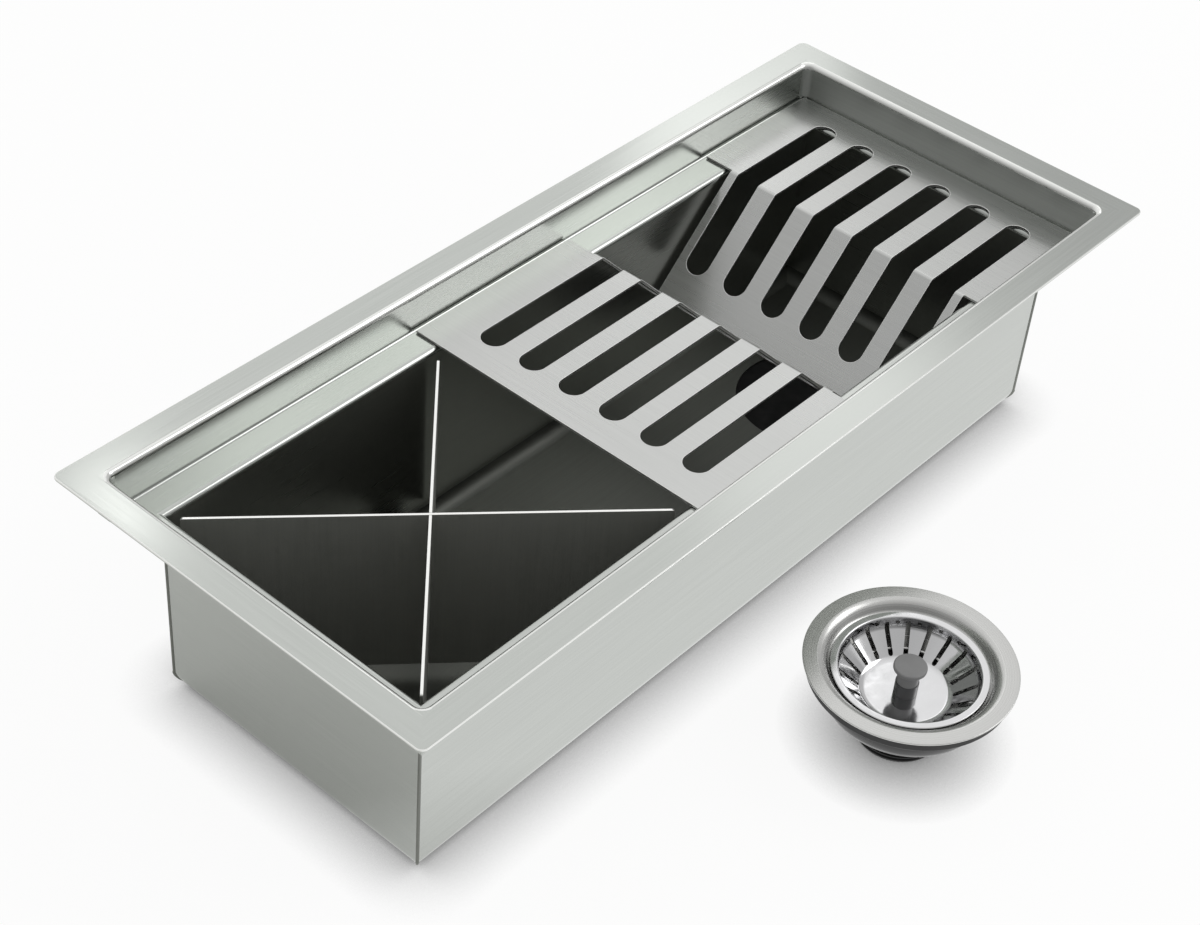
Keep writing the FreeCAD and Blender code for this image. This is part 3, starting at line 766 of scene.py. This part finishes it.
@dataclass
class BasketWaste:
    """The basket waste valve: flange, gasket, threaded body, slotted basket and knob."""

    slots: int = 20
    slot_width_mm: float = 2.6
    slot_foot_mm: float = 24.8
    slot_top_mm: float = 44.4
    hole_radius_mm: float = 1.2
    hole_z_mm: float = 43.9
    thread_pitch_mm: float = 2.31
    thread_turns: int = 7
    tail_radius_mm: float = 23.9
    tail_bore_mm: float = 20.4
    spoke_half_turn: float = 12.0
    slot_reach_mm: float = 44.0
    sleeve_top_mm: float = 38.35

    def build(self) -> None:
        """Makes every piece of the valve."""
        self.flange()
        self.gasket()
        self.body()
        self.basket()
        self.knob()
        self.hidden_nodes()

    @property
    def axis(self) -> Vector:
        """Where the valve's axis meets the floor, in metres."""
        low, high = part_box("valve_flange")
        return Vector(((low.x + high.x) / 2, (low.y + high.y) / 2, 0))

    def place(self, bm: bmesh.types.BMesh) -> bmesh.types.BMesh:
        """Moves a mesh from the Z axis to where the valve stands."""
        bmesh.ops.translate(bm, vec=self.axis, verts=bm.verts)
        return bm

    def flange(self) -> None:
        """Makes the pressed flange and its stepped cup, with four outlets in the cup's floor."""
        ring = BrushedSteel("lathe_brushed_steel_flange", light="#d6d6d4", dark="#c2c2c0", smooth=0.2, rough=0.34,
                            grain=Grain.ROUND, line_mm=0.5, wave_rise_mm=0.0, centre=tuple(self.axis.xy))
        bm = spun([
            (57.0, 51.8, 0.42), (46.4, 51.8, 3.2), (42.8, 46.2, 1.6), (39.2, 46.2, 0.4), (39.2, 33.0, 0.8),
            (29.0, 33.0, 1.0), (29.0, 25.4, 0.8), (3.0, 25.4, 0), (3.0, 24.4, 0), (30.0, 24.4, 0),
            (30.0, 32.0, 0), (40.2, 32.0, 0), (40.2, 45.2, 0), (43.45, 45.2, 0), (47.05, 50.8, 0), (57.0, 50.8, 0.42),
        ], steps=128)
        outlets = bmesh.new()
        for quarter in range(4):
            self.add_outlet(outlets, 90.0 * quarter)
        bm = cut_away(bm, outlets)
        finish_piece("valve_flange_pressing", self.place(bm), [ring], "valve", ["valve_flange"])

    def add_outlet(self, bm: bmesh.types.BMesh, turn: float) -> None:
        """Adds the cutter of one outlet: a quarter of a ring between two spokes.

        Args:
            bm: Mesh of the cutters.
            turn: Angle of the spoke before it, in degrees.
        """
        start = math.radians(turn + self.spoke_half_turn)
        corners = [bm.verts.new((radius * MM * math.cos(start), radius * MM * math.sin(start), z * MM))
                   for radius, z in ((8.0, 23.0), (20.0, 23.0), (20.0, 27.0), (8.0, 27.0))]
        first = bm.faces.new(corners)
        bmesh.ops.spin(bm, geom=[first], cent=(0, 0, 0), axis=(0, 0, 1), steps=12,
                       angle=math.radians(90 - 2 * self.spoke_half_turn))
        bmesh.ops.recalc_face_normals(bm, faces=bm.faces)

    def gasket(self) -> None:
        """Makes the rubber ring under the flange."""
        rubber = Moulded("nitrile_rubber_gasket", light="#171717", dark="#0e0e0e", roughness=0.5)
        bm = spun([(44.8, 44.2, 0.3), (55.0, 44.2, 1.2), (55.0, 50.8, 0.8), (47.4, 50.8, 0.2), (47.4, 46.2, 0),
                   (44.8, 46.2, 0)])
        finish_piece("flange_gasket_ring", self.place(bm), [rubber], "valve", ["flange_gasket"])

    def body(self) -> None:
        """Makes the moulded bowl, its threaded tail, and the hub on ribs inside it."""
        plastic = Moulded("polypropylene_black_body", light="#131313", dark="#0b0b0b", roughness=0.3)
        root = self.tail_radius_mm - 1.2
        points = [(self.tail_bore_mm, 0.0, 0.4), (root, 0.0, 0.0)]
        for turn in range(self.thread_turns):
            level = 0.9 + turn * self.thread_pitch_mm
            points += [(root, level, 0.0), (self.tail_radius_mm, level + 0.9, 0.0),
                       (self.tail_radius_mm, level + 1.3, 0.0), (root, level + 2.2, 0.0)]
        points += [
            (root, 20.0, 0.0), (33.9, 20.0, 1.5), (43.0, 25.6, 4.5), (46.5, 34.0, 4.0), (46.5, 44.2, 0.6),
            (41.2, 44.2, 0.0), (41.2, 31.0, 0.0), (31.0, 31.0, 0.0), (31.0, 22.3, 0.0), (self.tail_bore_mm, 22.3, 0.0),
        ]
        bm = spun(points)
        bmesh.ops.create_cone(bm, cap_ends=True, segments=32, radius1=6.9 * MM, radius2=6.9 * MM, depth=13.0 * MM,
                              matrix=Matrix.Translation((0, 0, 15.8 * MM)))
        for quarter in range(4):
            add_bar(bm, (5.0, -1.25, 9.3), (21.5, 1.25, 17.3), 90.0 * quarter)
        finish_piece("valve_body_moulding", self.place(bm), [plastic], "valve", ["valve_body"])

    def basket(self) -> None:
        """Makes the polished basket, with its slots and the round holes between them."""
        chrome = PolishedChrome("polished_steel_basket")
        bm = spun([
            (41.8, 46.8, 0.3), (41.8, 47.6, 0.3), (37.6, 47.6, 1.0), (37.6, 41.4, 2.0), (23.5, 30.3, 2.0),
            (2.6, 30.3, 0), (2.6, 29.5, 0), (23.8, 29.5, 1.5), (38.4, 41.0, 1.5), (38.4, 46.8, 0.3),
        ], steps=160)
        cutters = bmesh.new()
        pitch = 360.0 / self.slots
        for index in range(self.slots):
            self.add_slot(cutters, index * pitch)
            self.add_hole(cutters, (index + 0.5) * pitch)
        bm = cut_away(bm, cutters)
        finish_piece("strainer_basket_pressing", self.place(bm), [chrome], "basket",
                     ["strainer_basket"])

    def add_slot(self, bm: bmesh.types.BMesh, turn: float) -> None:
        """Adds the cutter of one slot, round at its foot and at its top.

        Args:
            bm: Mesh of the cutters.
            turn: Angle of the slot, in degrees.
        """
        half = self.slot_width_mm / 2
        edges = add_bar(bm, (self.slot_foot_mm, -half, 26.0), (self.slot_reach_mm, half, self.slot_top_mm))
        middle = (self.slot_foot_mm + self.slot_reach_mm) / 2 * MM
        upright = [e for e in edges if abs(e.verts[0].co.z - e.verts[1].co.z) > MM and e.verts[0].co.x < middle]
        radial = [e for e in edges if abs(e.verts[0].co.x - e.verts[1].co.x) > MM and e.verts[0].co.z > 30 * MM]
        verts = list({vert for edge in edges for vert in edge.verts})
        made = bmesh.ops.bevel(bm, geom=upright + radial, offset=0.98 * half * MM, offset_type="OFFSET", segments=5,
                               profile=0.5, affect="EDGES", material=-1)
        verts = list({v for v in verts if v.is_valid} | {v for face in made["faces"] for v in face.verts})
        bmesh.ops.rotate(bm, cent=(0, 0, 0), matrix=Matrix.Rotation(math.radians(turn), 3, "Z"), verts=verts)

    def add_hole(self, bm: bmesh.types.BMesh, turn: float) -> None:
        """Adds the cutter of one round hole through the upper wall.

        Args:
            bm: Mesh of the cutters.
            turn: Angle of the hole, in degrees.
        """
        place = (Matrix.Rotation(math.radians(turn), 4, "Z") @ Matrix.Translation((38 * MM, 0, self.hole_z_mm * MM))
                 @ Matrix.Rotation(math.radians(90), 4, "Y"))
        bmesh.ops.create_cone(bm, cap_ends=True, segments=16, radius1=self.hole_radius_mm * MM,
                              radius2=self.hole_radius_mm * MM, depth=6 * MM, matrix=place)

    def knob(self) -> None:
        """Makes the mushroom knob, its darker sleeve and the post below the basket."""
        grey = Moulded("abs_grey_knob", light="#838383", dark="#7a7a7a", roughness=0.42)
        sleeve = Moulded("abs_dark_grey_sleeve", light="#4c4c4d", dark="#424243", roughness=0.3)
        bm = spun([
            (0.0, 49.9, 0), (9.0, 49.9, 0.9), (9.0, 47.1, 0.9), (5.9, 47.1, 1.4), (5.9, 38.3, 0.0), (6.3, 38.3, 0.25),
            (6.3, 30.3, 0.2), (2.5, 30.3, 0), (2.5, 28.7, 0), (8.0, 28.7, 0.2), (8.0, 28.0, 0.2), (0.0, 28.0, 0),
        ], steps=64)
        for face in bm.faces:
            face.material_index = 1 if face.calc_center_median().z < self.sleeve_top_mm * MM else 0
        finish_piece("basket_knob_moulding", self.place(bm), [grey, sleeve], "basket", ["basket_knob"])

    def hidden_nodes(self) -> None:
        """Gives the clamp screw and the stopper seal their finishes."""
        finishes = {
            "clamp_screw": BrushedSteel("zinc_plated_steel_screw", light="#c4c4c2", dark="#b0b0ac",
                                        grain=Grain.ROUND, wave_rise_mm=0.0, centre=tuple(self.axis.xy)),
            "stopper_seal": Moulded("silicone_rubber_seal", light="#232323", dark="#191919", roughness=0.55),
        }
        for node, finish in finishes.items():
            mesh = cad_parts[node].data
            mesh.materials.clear()
            mesh.materials.append(finish.material())
            log.info("%s: finish %s", node, finish.name)


@dataclass
class Studio:
    """Camera, floor and plain soft light."""

    azimuth: float = -51.75
    elevation: float = 41.05
    roll: float = 5.06
    distance_mm: float = 1259.39
    aside_mm: tuple[float, float] = (-25.94, -71.04)
    lens_mm: float = 70.26
    floor_radius: float = 6.0
    shade_disc_radius: float = 0.058
    bright_side: tuple[float, float, float] = (0.592, 0.467, 0.657)
    sky_span: tuple[float, float] = (-0.3, 1.0)
    sky_in_metal: tuple[float, float] = (0.28, 1.0)
    fall_span: tuple[float, float] = (0.68, 0.75)
    fall_share: tuple[float, float] = (1.0, 0.65)
    soft_sky: float = 0.85
    floor_seen: float = 0.92
    shadow_reach: float = 0.035
    front_glow_edge: tuple[float, float] = (-0.14, -0.02)
    front_glow_in_metal: tuple[float, float] = (0.05, 1.0)

    @property
    def target(self) -> Vector:
        """Middle of the trough's rim, in metres."""
        low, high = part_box("front_panel")
        return Vector(((low.x + high.x) / 2, 0, high.z))

    def build(self) -> None:
        """Makes the camera, the floor, the world and the lamps."""
        self.camera()
        self.floor()
        self.painted_shade_disc()
        self.world()
        self.lamp("key_softbox", Vector((1.42, -1.12, 1.58)), 1.2, 9.0)
        self.lamp("tray_softbox", Vector((1.28, 0.64, 1.23)), 0.3, 0.127)
        self.lamp("left_rim_spot", Vector((0.54, 1.22, 1.28)), 0.1, 0.06)
        self.lamp("back_rim_softbox", Vector((1.53, 1.05, 1.0)), 0.3, 0.22)

    def camera(self) -> None:
        """Sets the camera at the photograph's angle."""
        azimuth, elevation, roll = (math.radians(a) for a in (self.azimuth, self.elevation, self.roll))
        back = Vector((math.sin(azimuth) * math.cos(elevation), -math.cos(azimuth) * math.cos(elevation),
                       math.sin(elevation)))
        right = Vector((math.cos(azimuth), math.sin(azimuth), 0))
        up = back.cross(right)
        rolled_right = right * math.cos(roll) + up * math.sin(roll)
        rolled_up = up * math.cos(roll) - right * math.sin(roll)
        spot = rolled_right * self.aside_mm[0] + rolled_up * self.aside_mm[1] + back * self.distance_mm
        spot += self.target / MM
        data = bpy.data.cameras.new("camera")
        data.lens = self.lens_mm
        data.sensor_width = 36.0
        data.sensor_fit = "HORIZONTAL"
        camera = bpy.data.objects.new("camera", data)
        turn = Matrix((rolled_right, rolled_up, back)).transposed().to_4x4()
        camera.matrix_world = Matrix.Translation(spot * MM) @ turn
        bpy.context.scene.collection.objects.link(camera)
        bpy.context.scene.camera = camera

    def floor(self) -> None:
        """Lays the pale floor, which shows white to the camera and keeps part of the shadow; its white glow fades
        close to the trough, as painted contact shade.

        In the metal the floor glows white in front of the trough and is plain on its left: a painted glow, seen only
        in reflections, that lights the trough's front face.
        """
        bm = bmesh.new()
        bmesh.ops.create_circle(bm, cap_ends=True, segments=96, radius=self.floor_radius,
                                matrix=Matrix.Translation((0, 0, -0.4 * MM)))
        mesh = bpy.data.meshes.new("floor")
        bm.to_mesh(mesh)
        bm.free()
        made = bpy.data.materials.new("pale_floor")
        made.use_nodes = True
        tree = made.node_tree
        tree.nodes.clear()
        paint = add_node(tree, "ShaderNodeBsdfDiffuse", {"Color": linear("#f0f0ee")})
        # The glow darkens where the trough stands close: painted contact shade.
        painted_contact_shade = add_node(tree, "ShaderNodeAmbientOcclusion", {"Distance": self.shadow_reach, "samples": 4})
        glow = add_node(tree, "ShaderNodeEmission", {"Strength": 1.0}, {"Color": painted_contact_shade.outputs["Color"]})
        rays = add_node(tree, "ShaderNodeLightPath")
        seen = add_node(tree, "ShaderNodeMath", {"operation": "MULTIPLY", 1: self.floor_seen},
                        {0: rays.outputs["Is Camera Ray"]})
        shown = add_node(tree, "ShaderNodeMath", {"operation": "MAXIMUM"},
                         {0: rays.outputs["Is Glossy Ray"], 1: rays.outputs["Is Transmission Ray"]})
        # Seen in the metal, the floor glows full white in front of the trough: a painted glow.
        spot = add_node(tree, "ShaderNodeTexCoord").outputs["Object"]
        ahead = add_node(tree, "ShaderNodeVectorMath", {"operation": "DOT_PRODUCT", 1: (0.6, -0.8, 0.0)}, {0: spot})
        middle = 0.6 * self.target.x
        edge = (middle + self.front_glow_edge[0], middle + self.front_glow_edge[1])
        front_glow = remap(tree, ahead.outputs["Value"], edge, self.front_glow_in_metal)
        mirrored = add_node(tree, "ShaderNodeMath", {"operation": "MULTIPLY"},
                            {0: shown.outputs[0], 1: front_glow})
        white = add_node(tree, "ShaderNodeEmission", {"Color": linear("#ffffff"), "Strength": 1.0})
        plain = add_node(tree, "ShaderNodeMixShader", links={0: seen.outputs[0], 1: paint.outputs[0],
                                                             2: glow.outputs[0]})
        mix = add_node(tree, "ShaderNodeMixShader", links={0: mirrored.outputs[0], 1: plain.outputs[0],
                                                           2: white.outputs[0]})
        add_node(tree, "ShaderNodeOutputMaterial", links={"Surface": mix.outputs[0]})
        mesh.materials.append(made)
        floor = bpy.data.objects.new("floor", mesh)
        bpy.context.scene.collection.objects.link(floor)

    def painted_shade_disc(self) -> None:
        """Lays a black disc on the floor under the drain: painted shade seen through the drain's openings."""
        bm = bmesh.new()
        bmesh.ops.create_circle(bm, cap_ends=True, segments=64, radius=self.shade_disc_radius,
                                matrix=Matrix.Translation((0, 0, -0.2 * MM)))
        bmesh.ops.recalc_face_normals(bm, faces=bm.faces)
        mesh = bpy.data.meshes.new("painted_shade_disc")
        bm.to_mesh(mesh)
        bm.free()
        shade = Moulded("painted_shade_under_drain", light="#0c0c0c", dark="#080808", roughness=0.8)
        mesh.materials.append(shade.material())
        hole = bpy.data.objects.new("painted_shade_disc", mesh)
        bpy.context.scene.collection.objects.link(hole)

    def world(self) -> None:
        """Gives a soft sky that shows white to the camera.

        In the metal it is brighter on one side, and falls off again towards the far right.
        """
        world = bpy.data.worlds.new("studio")
        world.use_nodes = True
        bpy.context.scene.world = world
        tree = world.node_tree
        tree.nodes.clear()
        soft = add_node(tree, "ShaderNodeBackground", {"Color": linear("#ffffff"), "Strength": self.soft_sky})
        way = add_node(tree, "ShaderNodeTexCoord").outputs["Generated"]
        facing = add_node(tree, "ShaderNodeVectorMath", {"operation": "DOT_PRODUCT", 1: self.bright_side}, {0: way})
        slope = remap(tree, facing.outputs["Value"], self.sky_span, self.sky_in_metal)
        rightward = add_node(tree, "ShaderNodeSeparateXYZ", links={0: way})
        fall = remap(tree, rightward.outputs["X"], self.fall_span, self.fall_share)
        strength = add_node(tree, "ShaderNodeMath", {"operation": "MULTIPLY"}, {0: slope, 1: fall})
        mirrored = add_node(tree, "ShaderNodeBackground", {"Color": linear("#ffffff")},
                            {"Strength": strength.outputs[0]})
        white = add_node(tree, "ShaderNodeBackground", {"Color": linear("#ffffff"), "Strength": 1.0})
        rays = add_node(tree, "ShaderNodeLightPath")
        shown = add_node(tree, "ShaderNodeMath", {"operation": "MAXIMUM"},
                         {0: rays.outputs["Is Glossy Ray"], 1: rays.outputs["Is Transmission Ray"]})
        lit = add_node(tree, "ShaderNodeMixShader", links={0: shown.outputs[0], 1: soft.outputs[0],
                                                           2: mirrored.outputs[0]})
        mix = add_node(tree, "ShaderNodeMixShader", links={0: rays.outputs["Is Camera Ray"], 1: lit.outputs[0],
                                                           2: white.outputs[0]})
        add_node(tree, "ShaderNodeOutputWorld", links={"Surface": mix.outputs[0]})

    def lamp(self, name: str, place: Vector, size: float, power: float) -> None:
        """Hangs one square softbox that looks at the object.

        Args:
            name: Name of the lamp.
            place: Where it hangs, in metres from the middle of the rim.
            size: Side of the softbox, in metres.
            power: Power in watts.
        """
        data = bpy.data.lights.new(name, "AREA")
        data.size = size
        data.energy = power
        lamp = bpy.data.objects.new(name, data)
        turn = place.to_track_quat("Z", "Y").to_matrix().to_4x4()
        lamp.matrix_world = Matrix.Translation(self.target + place) @ turn
        bpy.context.scene.collection.objects.link(lamp)


def main() -> None:
    """Builds the dressed object and its studio."""
    logging.basicConfig(level=logging.INFO, format="%(name)s %(message)s")
    bpy.context.scene.view_settings.view_transform = "Standard"
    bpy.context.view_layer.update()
    for part in (SheetTrough(), DrainerTrays(), CrossDivider(), BasketWaste(), Studio()):
        log.info("building %s", type(part).__name__)
        part.build()


if __name__ == "__main__":
    main()
